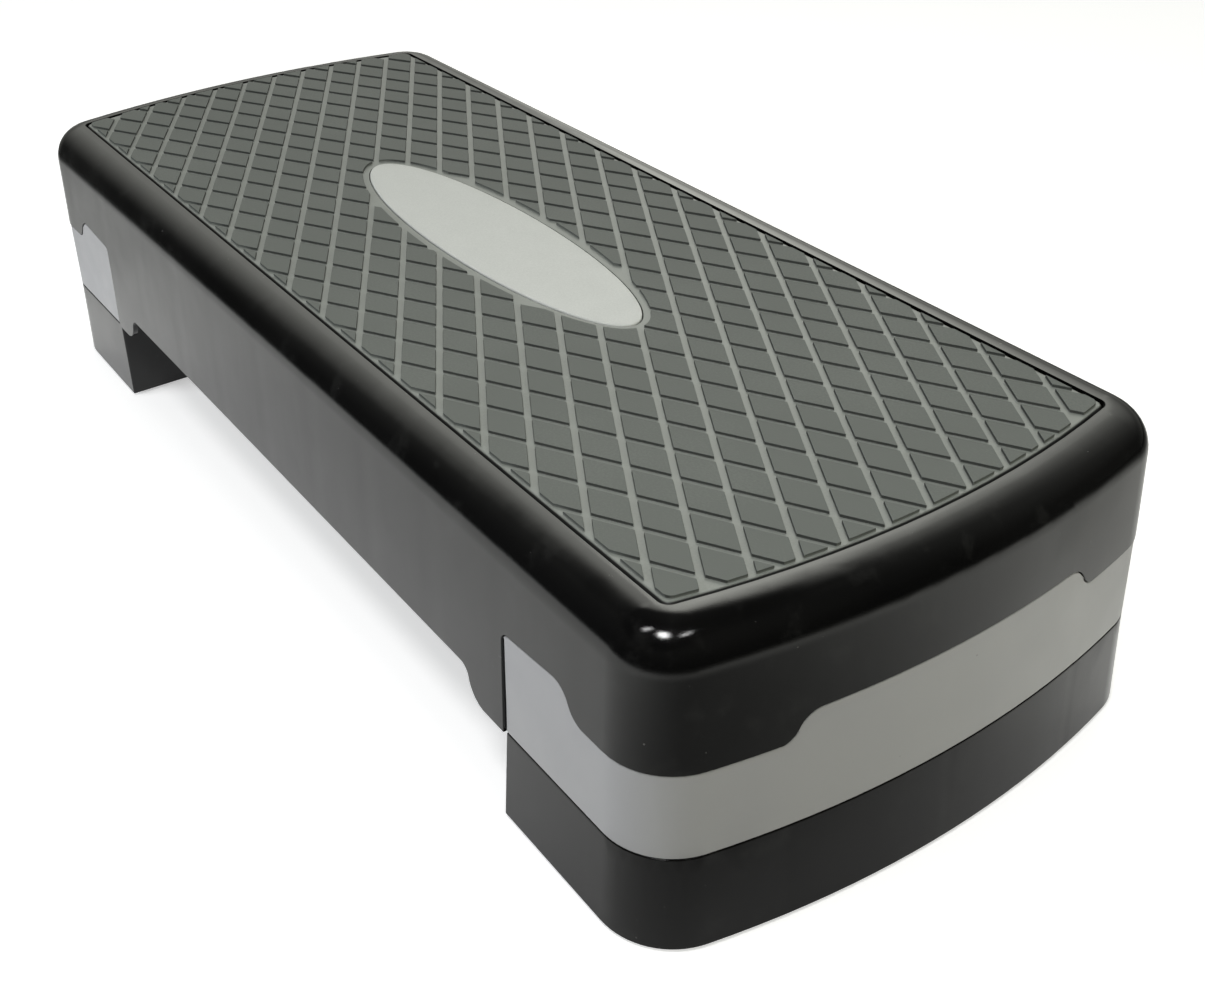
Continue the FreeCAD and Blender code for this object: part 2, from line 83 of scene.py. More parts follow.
# Reaches, areas and angles that tell the faces and edges of a copied solid apart.
MERGE_REACH = 2e-6
WALL_AREA = 1e-4
WALL_TILT = 0.5
SIDE_FACING = 0.9
FLAT_ANGLE = math.radians(0.3)
SMOOTH_ANGLE = math.radians(25)
SHARP_ANGLE = math.radians(50)
CREASE_ANGLE = math.radians(60)

# Places that the mouldings share with the frame, in metres.
RIB_PITCH_LONG = 0.056
RIB_PITCH_END = 0.079
GROOVE_TOP = 0.1487
TREAD_TOP = 0.150
LAND_TOP = 0.149
SCREW_PLACES = ((0.2485, 0.041), (0.2925, 0.079))
SCREW_HEAD_HEIGHT = 0.003
SCREW_HEAD_RADIUS = 0.0045
SCREW_SHANK_RADIUS = 0.0022
FOOT_STEM_RADIUS = 0.003
FOOT_STEM_LENGTH = 0.008

# How far the faint sink marks reach to each side of a rib.
DECK_SINK_REACH = 0.012
BLOCK_SINK_REACH = 0.006
RISER_SINK_REACH = 0.005

# Fine detail of the screws, and the rings of the badge's crown: shrink from the last, and share of the rise.
SCREW_RIDGES = 9
RIDGE_ROOT = 0.82
RECESS_ARM = 0.0026
RECESS_HALF_WIDTH = 0.0005
BADGE_RINGS = ((0.95, 0.3), (0.85, 0.3), (0.7, 0.25), (0.4, 0.15))

# How many steps the round shapes are made in.
TURNED_STEPS = 40
BADGE_STEPS = 160
FLOOR_STEPS = 96
BOW_STEPS = 8
CORNER_STEPS = 5

# The mat's pattern and outline as the frame has them, and the limits for the diamonds along its border.
HALF_LONG = 0.0369 / 2
HALF_ACROSS = 0.0209 / 2
GROOVE_WIDTH = 0.0032
FRAME_BORDER = 0.0042
MAT_CORNER = 0.004
BOW_RADIUS = 0.510
DIAMOND_SINK = 0.0008
SMALLEST_DIAMOND = 5e-6
MAT_SIDE_DEPTH = 0.001
OUTWARD_REACH = 0.02

# The room's bright wall: degrees of turn from the far end of the step, and the share of light there.
WALL_STOPS = (
    (-40, 0.01), (-25, 0.03), (-15, 0.11), (0, 0.20), (15, 0.29), (26, 0.42), (33, 0.45), (37, 1.0),
    (43, 0.85), (53, 0.50), (64, 0.28), (80, 0.18), (95, 0.09), (110, 0.04), (140, 0.01),
)
WALL_SLOPE = -0.25

# Shares of light left where the wall has faded, and of the floor's white left where painted shade darkens the
# floor far out and behind the step.
WALL_TOP_LEVEL = 0.02
WALL_FOOT_LEVEL = 0.2
PAINTED_SHADE_FAR_LEVEL = 0.1
PAINTED_SHADE_BACK_LEVEL = 0.2

# The evenly dark middle of the painted shadow on the floor, as a share of its reach.
PAINTED_SHADOW_CORE = 0.125

# The lamps: name, place, aim, size, watts, whether the pieces mirror it, and tint.
STEP_MIDDLE = (0.0, 0.0, 0.1)
NEAR_CORNER = (0.309, -0.12, 0.145)
WHITE = (1.0, 1.0, 1.0)
COOL = (0.95, 0.98, 1.0)
WARM = (1.0, 1.0, 0.85)
LAMPS = (
    ("overhead", (0.0, 0.0, 1.9), STEP_MIDDLE, (2.4, 2.4), 5.8, False, WHITE),
    ("side_fill", (-0.6, -1.7, 0.6), STEP_MIDDLE, (1.2, 1.2), 21.0, False, COOL),
    ("end_fill", (1.7, 0.25, 0.6), STEP_MIDDLE, (1.0, 1.0), 10.0, False, WARM),
    ("main_lamp", (0.489, -0.460, 1.065), NEAR_CORNER, (0.24, 0.22), 3.6, True, WHITE),
    ("left_lamp", (0.149, -0.540, 1.035), NEAR_CORNER, (0.08, 0.24), 0.6, True, WHITE),
    ("right_lamp", (0.709, -0.080, 1.055), NEAR_CORNER, (0.30, 0.07), 0.7, True, WHITE),
)


def length(name, description, default):
    """A setting in metres."""
    return FloatProperty(
        name=name, description=description, default=default, min=0.0, precision=5, unit="LENGTH"
    )


def colour(name, description, default):
    """A setting for a linear colour."""
    return FloatVectorProperty(
        name=name, description=description, default=default, size=4, min=0.0, max=1.0, subtype="COLOR"
    )


class StepSizes(bpy.types.PropertyGroup):
    """Small sizes of the finished pieces."""

    mould_edge: length("Moulded edge", "Radius on the edges of the black mouldings", 0.0004)
    block_edge: length("Block edge", "Radius on the edges of the grey end blocks", 0.0004)
    block_lean: length("Block lean", "How far the end blocks' walls lean out at their top", 0.00095)
    tread_edge: length("Tread edge", "Radius on the edges of the raised diamonds", 0.00025)
    mat_edge: length("Mat edge", "Radius on the outer edge of the mat", 0.0016)
    mat_border: length("Mat border", "Low strip between the diamonds and the edge of the mat", 0.0022)
    badge_edge: length("Badge edge", "Radius on the edge of the oval plate", 0.0007)
    badge_crown: length("Badge crown", "Rise of the oval plate's middle above its edge", 0.0003)
    foot_groove: length("Foot groove", "Depth of the ring groove in the rubber feet", 0.0008)
    recess_depth: length("Screw recess", "Depth of the cross recess in the screw heads", 0.0016)


class StepColours(bpy.types.PropertyGroup):
    """Colours of the finished pieces."""

    black: colour("Black plastic", "Deck and risers", (0.0025, 0.0025, 0.0026, 1.0))
    faded: colour("Faded black", "Cloudy patches of the black plastic", (0.0045, 0.0045, 0.0045, 1.0))
    dust: colour("Dust", "Specks that lie on the plastic", (0.30, 0.30, 0.29, 1.0))
    grey: colour("Grey plastic", "End blocks", (0.350, 0.350, 0.362, 1.0))
    pale_grey: colour("Pale grey", "Cloudy patches of the end blocks", (0.380, 0.380, 0.384, 1.0))
    tread: colour("Tread", "Tops of the mat's diamonds", (0.114, 0.124, 0.114, 1.0))
    groove: colour("Groove", "Low ground of the mat", (0.205, 0.219, 0.202, 1.0))
    badge: colour("Badge", "Oval plate", (0.515, 0.528, 0.507, 1.0))
    # The rubber black is also the dark of the painted shade on the tread mat's sides and sunk edge.
    rubber: colour("Rubber", "Feet", (0.016, 0.016, 0.016, 1.0))
    zinc: colour("Zinc", "Screws", (0.55, 0.56, 0.57, 1.0))
    floor: colour("Floor", "Studio floor", (0.92, 0.92, 0.92, 1.0))


class StepStage(bpy.types.PropertyGroup):
    """Camera, floor and room of the picture."""

    place: FloatVectorProperty(
        name="Camera place", description="Where the camera stands",
        default=(0.62087, -0.35226, 0.46192), size=3, subtype="TRANSLATION", unit="LENGTH",
    )
    azimuth: FloatProperty(
        name="Azimuth", description="Turn of the camera round the step", default=math.radians(56.209),
        unit="ROTATION", subtype="ANGLE",
    )
    elevation: FloatProperty(
        name="Elevation", description="Height of the camera above the horizon", default=math.radians(33.922),
        unit="ROTATION", subtype="ANGLE",
    )
    roll: FloatProperty(
        name="Roll", description="Tilt of the picture", default=-0.029, unit="ROTATION", subtype="ANGLE",
    )
    lens: FloatProperty(name="Lens", description="Focal length in millimetres", default=44.424, min=1.0)
    floor_radius: length("Floor", "Radius of the studio floor", 1.3)
    # Painted shade: between these distances the floor that the pieces see darkens.
    floor_white: FloatProperty(
        name="Floor white", description="Distance up to which the floor is mirrored as white", default=0.6
    )
    floor_dark: FloatProperty(
        name="Floor dark", description="Distance past which the floor is mirrored as dark", default=1.0
    )
    floor_glow: FloatProperty(
        name="Floor glow", description="Lift of the floor's white in the picture", default=0.50
    )
    # Painted shade: behind the step the floor that the pieces see darkens.
    floor_back: FloatVectorProperty(
        name="Floor back", description="Distances behind the step between which the mirrored floor fades",
        default=(0.34, 0.55), size=2, unit="LENGTH",
    )
    # Painted shadow on the floor in front of the near corner, which only the pieces see.
    painted_shadow_place: FloatVectorProperty(
        name="Dim place", description="Middle of the dim floor in front of the near corner",
        default=(0.46, -0.13, 0.0), size=3, subtype="TRANSLATION", unit="LENGTH",
    )
    painted_shadow_reach: length("Dim reach", "Radius of the dim floor", 0.38)
    painted_shadow_level: FloatProperty(
        name="Dim level", description="Share of the floor's white in its dim middle", default=0.22
    )
    # Painted light: a glow of the floor close to the step, which lights the pieces and is mirrored in them.
    painted_glow_level: FloatProperty(
        name="Close glow", description="Light mirrored from the floor close to the step", default=0.3
    )
    painted_glow_reach: length("Close reach", "How far from the step that light reaches", 0.13)
    wall_tint: FloatVectorProperty(
        name="Wall tint", description="Colour of the room's bright wall", default=(0.99, 1.0, 0.92), size=3,
        subtype="COLOR", min=0.0, max=1.0,
    )
    wall_light: FloatProperty(
        name="Wall light", description="Brightness of the brightest part of the wall", default=4.6
    )
    wall_top: FloatVectorProperty(
        name="Wall top", description="Heights where the wall's light starts and ends to fade",
        default=(0.66, 0.80), size=2,
    )
    wall_foot: FloatVectorProperty(
        name="Wall foot", description="Heights between which the wall's light rises from its dim foot",
        default=(0.15, 0.55), size=2,
    )


class Finish:
    """A material being mixed: its nodes, its shader and the piece's own coordinates."""

    def __init__(self, name):
        self.material = bpy.data.materials.new(name)
        self.material.use_nodes = True
        self.tree = self.material.node_tree
        self.shader = self.tree.nodes["Principled BSDF"]
        self.place = self.add("ShaderNodeTexCoord").outputs["Object"]
        self.axes = self.add("ShaderNodeSeparateXYZ")
        self.tree.links.new(self.place, self.axes.inputs[0])

    def add(self, kind, **settings):
        node = self.tree.nodes.new(kind)
        for key, value in settings.items():
            setattr(node, key, value)
        return node

    def feed(self, socket, value):
        """Links a socket to another one, or sets its value."""
        if isinstance(value, bpy.types.NodeSocket):
            self.tree.links.new(value, socket)
        else:
            socket.default_value = value

    def sum(self, operation, *values):
        """A sum of values and sockets, by one of the math node's operations."""
        node = self.add("ShaderNodeMath", operation=operation)
        for socket, value in zip(node.inputs, values):
            self.feed(socket, value)
        return node.outputs[0]

    def distance(self, point):
        """How far the surface is from a point."""
        node = self.add("ShaderNodeVectorMath", operation="DISTANCE")
        self.feed(node.inputs[0], self.place)
        self.feed(node.inputs[1], tuple(point))
        return node.outputs["Value"]

    def facing(self, axis):
        """How far the surface faces along an axis."""
        node = self.add("ShaderNodeSeparateXYZ")
        self.feed(node.inputs[0], self.add("ShaderNodeNewGeometry").outputs["Normal"])
        return node.outputs[axis]

    def noise(self, scale, detail=2.0, rough=0.5):
        node = self.add("ShaderNodeTexNoise")
        self.feed(node.inputs["Vector"], self.place)
        node.inputs["Scale"].default_value = scale
        node.inputs["Detail"].default_value = detail
        node.inputs["Roughness"].default_value = rough
        return node.outputs["Fac"]

    def spread(self, value, low, high, start=0.0, end=1.0):
        """A value between low and high, carried over smoothly to start and end."""
        node = self.add("ShaderNodeMapRange", interpolation_type="SMOOTHSTEP")
        for socket, item in zip(node.inputs, (value, low, high, start, end)):
            self.feed(socket, item)
        return node.outputs[0]

    def mix(self, factor, first, second):
        node = self.add("ShaderNodeMix", data_type="RGBA")
        self.feed(node.inputs[0], factor)
        self.feed(node.inputs[6], first)
        self.feed(node.inputs[7], second)
        return node.outputs[2]

    def emboss(self, height, depth):
        """Presses a relief into the surface, on top of those that it already has."""
        node = self.add("ShaderNodeBump")
        node.inputs["Strength"].default_value = 1.0
        node.inputs["Distance"].default_value = depth
        self.feed(node.inputs["Height"], height)
        normal = self.shader.inputs["Normal"]
        if normal.is_linked:
            self.tree.links.new(normal.links[0].from_socket, node.inputs["Normal"])
        self.tree.links.new(node.outputs[0], normal)

    def flow_lines(self, scale):
        """Upright streaks, as a moulding's draw leaves them."""
        stretch = self.add("ShaderNodeMapping")
        stretch.inputs["Scale"].default_value = (1.0, 1.0, 0.03)
        self.feed(stretch.inputs["Vector"], self.place)
        node = self.add("ShaderNodeTexNoise")
        self.feed(node.inputs["Vector"], stretch.outputs[0])
        node.inputs["Scale"].default_value = scale
        return node.outputs["Fac"]

    def rib_lines(self, axis, pitch, width):
        """One along the lines where ribs stand behind a wall, and nought between them."""
        near = self.sum("ABSOLUTE", self.sum("WRAP", self.axes.outputs[axis], pitch / 2, -pitch / 2))
        return self.spread(near, 0.0, width, 1.0, 0.0)


def specks(finish, scale, share):
    """Sparse dots of dust."""
    return finish.spread(finish.noise(scale, 1.0), 1.0 - share, 1.0 - share + 0.06)


def black_plastic(name, colours, axis, pitch, width):
    """Polished black plastic: clouds, dust and scuffs, flow lines and sink marks over the ribs."""
    finish = Finish(name)
    cloud = finish.spread(finish.noise(7.0, 3.0), 0.35, 0.65)
    base = finish.mix(cloud, tuple(colours.black), tuple(colours.faded))
    dusty = finish.sum("MULTIPLY", specks(finish, 420.0, 0.22), 0.25)
    base = finish.mix(dusty, base, tuple(colours.dust))
    scuffed = finish.spread(finish.noise(55.0, 6.0, 0.65), 0.52, 0.70, 0.0, 0.022)
    base = finish.mix(scuffed, base, tuple(colours.dust))
    finish.feed(finish.shader.inputs["Base Color"], base)
    cloudy = finish.spread(finish.noise(45.0, 4.0), 0.3, 0.7, -0.03, 0.03)
    satin = finish.spread(finish.facing("Z"), 0.1, 0.35, 0.18, 0.095)
    finish.feed(finish.shader.inputs["Roughness"], finish.sum("ADD", satin, cloudy))
    finish.shader.inputs["Specular IOR Level"].default_value = 0.5
    finish.emboss(finish.flow_lines(130.0), 0.00003)
    finish.emboss(finish.rib_lines(axis, pitch, width), -0.00006)
    finish.emboss(finish.noise(26.0, 2.0), 0.00012)
    finish.emboss(finish.noise(2400.0, 2.0), 0.00002)
    return finish.material


def grey_plastic(name, colours):
    """Grained grey plastic with dark specks and sink marks over the ribs."""
    finish = Finish(name)
    cloud = finish.spread(finish.noise(9.0, 4.0), 0.3, 0.7)
    base = finish.mix(cloud, tuple(colours.grey), tuple(colours.pale_grey))
    dark = finish.sum("MULTIPLY", specks(finish, 380.0, 0.2), 0.3)
    base = finish.mix(dark, base, tuple(colours.black))
    finish.feed(finish.shader.inputs["Base Color"], base)
    rough = finish.spread(finish.noise(50.0, 4.0), 0.3, 0.7, 0.36, 0.46)
    finish.feed(finish.shader.inputs["Roughness"], rough)
    finish.shader.inputs["Specular IOR Level"].default_value = 0.3
    finish.emboss(finish.rib_lines("Y", RIB_PITCH_END, BLOCK_SINK_REACH), -0.00006)
    finish.emboss(finish.noise(2000.0, 2.0), 0.00003)
    return finish.material


def tread_rubber(name, colours):
    """Grey rubber: pale low ground, darker stippled diamonds, and painted shade on the sides and on the sunk
    outer edge.
    """
    finish = Finish(name)
    raised = finish.spread(finish.axes.outputs["Z"], GROOVE_TOP + 0.0002, TREAD_TOP - 0.0003)
    cloud = finish.spread(finish.noise(12.0, 4.0), 0.3, 0.7, -0.12, 0.12)
    fleck = finish.spread(finish.noise(900.0, 2.0), 0.3, 0.7, -0.1, 0.1)
    shade = finish.sum("ADD", raised, finish.sum("ADD", cloud, fleck))
    base = finish.mix(shade, tuple(colours.groove), tuple(colours.tread))
    # Painted shade: sides darken towards the rubber black the more upright they stand.
    painted_side_shade = finish.spread(finish.facing("Z"), 0.35, 0.95, 0.75, 0.0)
    # The painted shade is lighter on sides that stand square to the mat's length or width than on the slanted
    # ones.
    for axis, slant, square in (("X", 0.60, 0.85), ("Y", 0.89, 0.96)):
        across = finish.sum("ABSOLUTE", finish.facing(axis))
        painted_side_shade = finish.sum("MULTIPLY", painted_side_shade, finish.spread(across, slant, square, 1.0, 0.45))
    base = finish.mix(painted_side_shade, base, tuple(colours.rubber))
    # Painted shade: the mat's rounded outer edge and its side below the ground turn nearly black, which
    # widens the dark gap line round the mat.
    painted_gap_shade = finish.spread(finish.axes.outputs["Z"], GROOVE_TOP - 0.0004, GROOVE_TOP - 0.00005, 0.97, 0.0)
    finish.feed(finish.shader.inputs["Base Color"], finish.mix(painted_gap_shade, base, tuple(colours.rubber)))
    finish.feed(finish.shader.inputs["Roughness"], finish.spread(raised, 0.0, 1.0, 0.4, 0.7))
    finish.shader.inputs["Specular IOR Level"].default_value = 0.35
    stipple = finish.sum("MULTIPLY", finish.noise(1500.0, 2.0), raised)
    finish.emboss(stipple, 0.00008)
    return finish.material


def badge_film(name, colours):
    """Pale film with a fine grain."""
    finish = Finish(name)
    grain = finish.spread(finish.noise(1300.0, 3.0), 0.3, 0.7)
    pale = tuple(min(1.0, 1.08 * part) for part in colours.badge)
    finish.feed(finish.shader.inputs["Base Color"], finish.mix(grain, tuple(colours.badge), pale))
    rough = finish.spread(finish.noise(80.0, 3.0), 0.3, 0.7, 0.48, 0.58)
    finish.feed(finish.shader.inputs["Roughness"], rough)
    finish.shader.inputs["Specular IOR Level"].default_value = 0.2
    finish.emboss(finish.noise(1300.0, 3.0), 0.00002)
    return finish.material


def foot_rubber(name, colours):
    """Dull black rubber with dust on it."""
    finish = Finish(name)
    dusty = finish.spread(finish.noise(160.0, 4.0), 0.4, 0.8, 0.0, 0.12)
    base = finish.mix(dusty, tuple(colours.rubber), tuple(colours.dust))
    finish.feed(finish.shader.inputs["Base Color"], base)
    rough = finish.spread(finish.noise(300.0), 0.3, 0.7, 0.7, 0.85)
    finish.feed(finish.shader.inputs["Roughness"], rough)
    finish.shader.inputs["Specular IOR Level"].default_value = 0.3
    finish.emboss(finish.noise(1200.0, 2.0), 0.00006)
    return finish.material


def zinc_plate(name, colours):
    """Dull bright zinc plate."""
    finish = Finish(name)
    dull = finish.spread(finish.noise(500.0, 4.0), 0.3, 0.7)
    dark = tuple(0.7 * part for part in colours.zinc[:3]) + (1.0,)
    finish.feed(finish.shader.inputs["Base Color"], finish.mix(dull, tuple(colours.zinc), dark))
    finish.feed(finish.shader.inputs["Roughness"], finish.spread(dull, 0.0, 1.0, 0.28, 0.42))
    finish.shader.inputs["Metallic"].default_value = 1.0
    return finish.material


def copied_solid(node):
    """A CAD solid's mesh with its loose triangles merged and its flat faces made whole."""
    mesh = bmesh.new()
    mesh.from_mesh(frame["nodes"][node].data)
    bmesh.ops.remove_doubles(mesh, verts=mesh.verts, dist=MERGE_REACH)
    bmesh.ops.dissolve_limit(mesh, angle_limit=FLAT_ANGLE, verts=mesh.verts, edges=mesh.edges)
    return mesh


def round_edges(mesh, edges, radius, segments=2):
    """Rounds edges to a radius."""
    bmesh.ops.bevel(
        mesh, geom=edges, offset=radius, offset_type="OFFSET", affect="EDGES",
        segments=segments, profile=0.5, material=-1, clamp_overlap=False,
    )


def sharp_edges(mesh):
    """Edges where two faces meet at a sharp angle."""
    return [edge for edge in mesh.edges if edge.is_manifold and edge.calc_face_angle() > SHARP_ANGLE]


def outer_skin(mesh):
    """Faces of a moulding's outer wall, and all that run on from it without a sharp edge."""
    walls = [face for face in mesh.faces if face.normal.y < -SIDE_FACING and face.calc_area() > WALL_AREA]
    found = [min(walls, key=lambda face: face.calc_center_median().y)]
    skin = set(found)
    while found:
        for edge in found.pop().edges:
            if edge.calc_face_angle(math.pi) < SMOOTH_ANGLE:
                fresh = [face for face in edge.link_faces if face not in skin]
                skin.update(fresh)
                found += fresh
    return skin


def is_lip(edge):
    """True for the edge between the deck's narrow land and the mat's recess."""
    return all(abs(vert.co.z - LAND_TOP) < MERGE_REACH for vert in edge.verts)


def finished_piece(mesh, name, material):
    """Makes an object of a bmesh, smooth but for its creases."""
    data = bpy.data.meshes.new(name)
    mesh.to_mesh(data)
    mesh.free()
    for spare in ("custom_normal", "sharp_edge", "sharp_face"):
        if spare in data.attributes:
            data.attributes.remove(data.attributes[spare])
    data.materials.clear()
    data.materials.append(material)
    data.shade_smooth()
    data.set_sharp_from_angle(angle=CREASE_ANGLE)
    piece = bpy.data.objects.new(name, data)
    bpy.context.scene.collection.objects.link(piece)
    return piece


def even_shading(piece):
    """Keeps flat faces flat and lets the rounded edges carry the turn of the light."""
    weighted = piece.modifiers.new("even_shading", "WEIGHTED_NORMAL")
    weighted.mode = "FACE_AREA"
    weighted.weight = 50
    weighted.keep_sharp = True


def settle(piece, node):
    """Puts a finished piece in the place of a CAD node."""
    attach(piece, BODY_OF[node])
    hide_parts(node)


def lean_skin(skin, reach):
    """Moves an outer skin's walls out, furthest at their top, but for walls that face the step's middle."""
    ways = {}
    for face in skin:
        way = Vector((face.normal.x, face.normal.y, 0.0)).normalized()
        if face.normal.z > WALL_TILT or way.x * face.calc_center_median().x < -MERGE_REACH:
            continue
        for vert in face.verts:
            ways[vert] = ways.get(vert, Vector()) + way
    low = min(vert.co.z for vert in ways)
    high = max(vert.co.z for vert in ways)
    for vert, way in ways.items():
        vert.co += way.normalized() * reach * (vert.co.z - low) / (high - low)


def moulding(node, radius, material, lean=0.0):
    """A hard moulding: the CAD solid with rounded edges along its outer skin."""
    mesh = copied_solid(node)
    skin = outer_skin(mesh)
    if lean:
        lean_skin(skin, lean)
    edges = [edge for edge in sharp_edges(mesh) if not (skin.isdisjoint(edge.link_faces) or is_lip(edge))]
    round_edges(mesh, edges, radius)
    piece = finished_piece(mesh, node + "_moulding", material)
    even_shading(piece)
    settle(piece, node)


def turned_profile(mesh, profile, x, y):
    """Spins a profile of radius and height pairs round an upright axis."""
    points = [mesh.verts.new((x + radius, y, height)) for radius, height in profile]
    edges = [mesh.edges.new(pair) for pair in zip(points, points[1:])]
    bmesh.ops.spin(
        mesh, geom=points + edges, cent=(x, y, 0.0), axis=(0.0, 0.0, 1.0), dvec=(0.0, 0.0, 0.0),
        angle=2 * math.pi, steps=TURNED_STEPS, use_merge=True,
    )


class STEP_OT_deck(bpy.types.Operator):
    """Make the black deck with its round rim and skirt"""

    bl_idname = "step_platform.deck"
    bl_label = "Deck"

    def execute(self, context):
        scene = context.scene
        plastic = black_plastic("satin_black_deck", scene.step_colours, "X", RIB_PITCH_LONG, DECK_SINK_REACH)
        moulding("deck_shell", scene.step_sizes.mould_edge, plastic)
        return {"FINISHED"}


class STEP_OT_tread(bpy.types.Operator):
    """Make the rubber mat with its raised diamonds"""

    bl_idname = "step_platform.tread"
    bl_label = "Tread mat"

    def execute(self, context):
        scene = context.scene
        sizes = scene.step_sizes
        mesh = copied_solid("tread_mat")
        cells = self.border_cells()
        self.clear_diamonds(mesh, cells)
        self.border_diamonds(mesh, cells, sizes.mat_border)
        edges = [edge for edge in sharp_edges(mesh) if not (self.is_border(edge) or self.is_sunk(edge))]
        round_edges(mesh, edges, sizes.tread_edge)
        border = [edge for edge in sharp_edges(mesh) if self.is_border(edge)]
        round_edges(mesh, border, sizes.mat_edge, 3)
        rubber = tread_rubber("tread_rubber", scene.step_colours)
        piece = finished_piece(mesh, "tread_mat_moulding", rubber)
        even_shading(piece)
        settle(piece, "tread_mat")
        return {"FINISHED"}

    def tips(self, cell):
        """The four corners of a whole diamond."""
        x, y = cell[0] * HALF_LONG, cell[1] * HALF_ACROSS
        slope = math.atan2(HALF_ACROSS, HALF_LONG)
        long_tip = HALF_LONG - GROOVE_WIDTH / 2 / math.sin(slope)
        across_tip = HALF_ACROSS - GROOVE_WIDTH / 2 / math.cos(slope)
        return ((x + long_tip, y), (x, y + across_tip), (x - long_tip, y), (x, y - across_tip))

    def field_edges(self, border):
        """Points and normals of upright planes round the diamonds: bowed ends, corners and sides."""
        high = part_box("tread_mat")[1]
        half_long, half_across = high.x - border, high.y - border
        bow = BOW_RADIUS - CAD_BOX[1][0] + half_long
        bow_x, corner_y = half_long - bow, half_across - MAT_CORNER
        reach = math.sqrt((bow - MAT_CORNER) ** 2 - corner_y ** 2)
        meet = math.atan2(corner_y, reach)
        rest = math.pi / 2 - meet
        arcs = [(bow_x, 0.0, bow, meet * step / BOW_STEPS) for step in range(BOW_STEPS + 1)]
        arcs += [
            (bow_x + reach, corner_y, MAT_CORNER, meet + rest * step / CORNER_STEPS)
            for step in range(1, CORNER_STEPS + 1)
        ]
        planes = []
        for x, y, radius, turn in arcs:
            way = (math.cos(turn), math.sin(turn))
            for east in (-1, 1):
                for north in (-1, 1):
                    normal = Vector((east * way[0], north * way[1], 0.0))
                    planes.append((Vector((east * x, north * y, 0.0)) + radius * normal, normal))
        return planes

    def border_cells(self):
        """Places in the pattern whose diamonds the edge of the frame's field clips."""
        planes = self.field_edges(FRAME_BORDER)
        columns, rows = int(CAD_BOX[1][0] / HALF_LONG), int(CAD_BOX[1][1] / HALF_ACROSS)
        return {
            (column, row)
            for column in range(-columns, columns + 1)
            for row in range(-rows, rows + 1)
            if (column + row) % 2 == 0 and any(
                (Vector((x, y, 0.0)) - point).dot(normal) > 0.0
                for x, y in self.tips((column, row)) for point, normal in planes
            )
        }

    def clear_diamonds(self, mesh, cells):
        """Takes the clipped diamonds off the mat and closes the ground under them."""
        clipped = []
        for face in mesh.faces:
            middle = face.calc_center_median()
            along, across = middle.x / HALF_LONG, middle.y / HALF_ACROSS
            rise, fall = round((along + across) / 2), round((along - across) / 2)
            if middle.z > GROOVE_TOP + MERGE_REACH and (rise + fall, rise - fall) in cells:
                clipped.append(face)
        bmesh.ops.delete(mesh, geom=clipped, context="FACES")
        bmesh.ops.holes_fill(mesh, edges=[edge for edge in mesh.edges if edge.is_boundary], sides=0)

    def border_diamonds(self, mesh, cells, border):
        """Adds diamonds that run nearly to the edge of the mat, each with its foot in the ground."""
        field = bmesh.new()
        for cell in sorted(cells):
            corners = [(x, y, GROOVE_TOP - DIAMOND_SINK) for x, y in self.tips(cell)]
            field.faces.new([field.verts.new(corner) for corner in corners])
        for point, normal in self.field_edges(border):
            bmesh.ops.bisect_plane(
                field, geom=field.verts[:] + field.edges[:] + field.faces[:], dist=MERGE_REACH / 10,
                plane_co=point, plane_no=normal, clear_outer=True,
            )
        small = [face for face in field.faces if face.calc_area() < SMALLEST_DIAMOND]
        bmesh.ops.delete(field, geom=small, context="FACES")
        raised = bmesh.ops.extrude_face_region(field, geom=field.faces[:])["geom"]
        bmesh.ops.translate(
            field, vec=(0.0, 0.0, TREAD_TOP - GROOVE_TOP + DIAMOND_SINK),
            verts=[item for item in raised if isinstance(item, bmesh.types.BMVert)],
        )
        bmesh.ops.holes_fill(field, edges=[edge for edge in field.edges if edge.is_boundary], sides=0)
        bmesh.ops.recalc_face_normals(field, faces=field.faces)
        data = bpy.data.meshes.new("border_diamonds")
        field.to_mesh(data)
        field.free()
        mesh.from_mesh(data)
        bpy.data.meshes.remove(data)

    def is_sunk(self, edge):
        """True for the foot of an added diamond, which the ground hides."""
        return all(abs(vert.co.z - GROOVE_TOP + DIAMOND_SINK) < MERGE_REACH for vert in edge.verts)

    def is_border(self, edge):
        """True for the upper edge of the mat's outer side."""
        if any(abs(vert.co.z - GROOVE_TOP) > MERGE_REACH for vert in edge.verts):
            return False
        middle = (edge.verts[0].co + edge.verts[1].co) / 2
        return any(
            min(vert.co.z for vert in face.verts) < GROOVE_TOP - MAT_SIDE_DEPTH
            and face.normal.dot(middle) > OUTWARD_REACH
            for face in edge.link_faces
        )


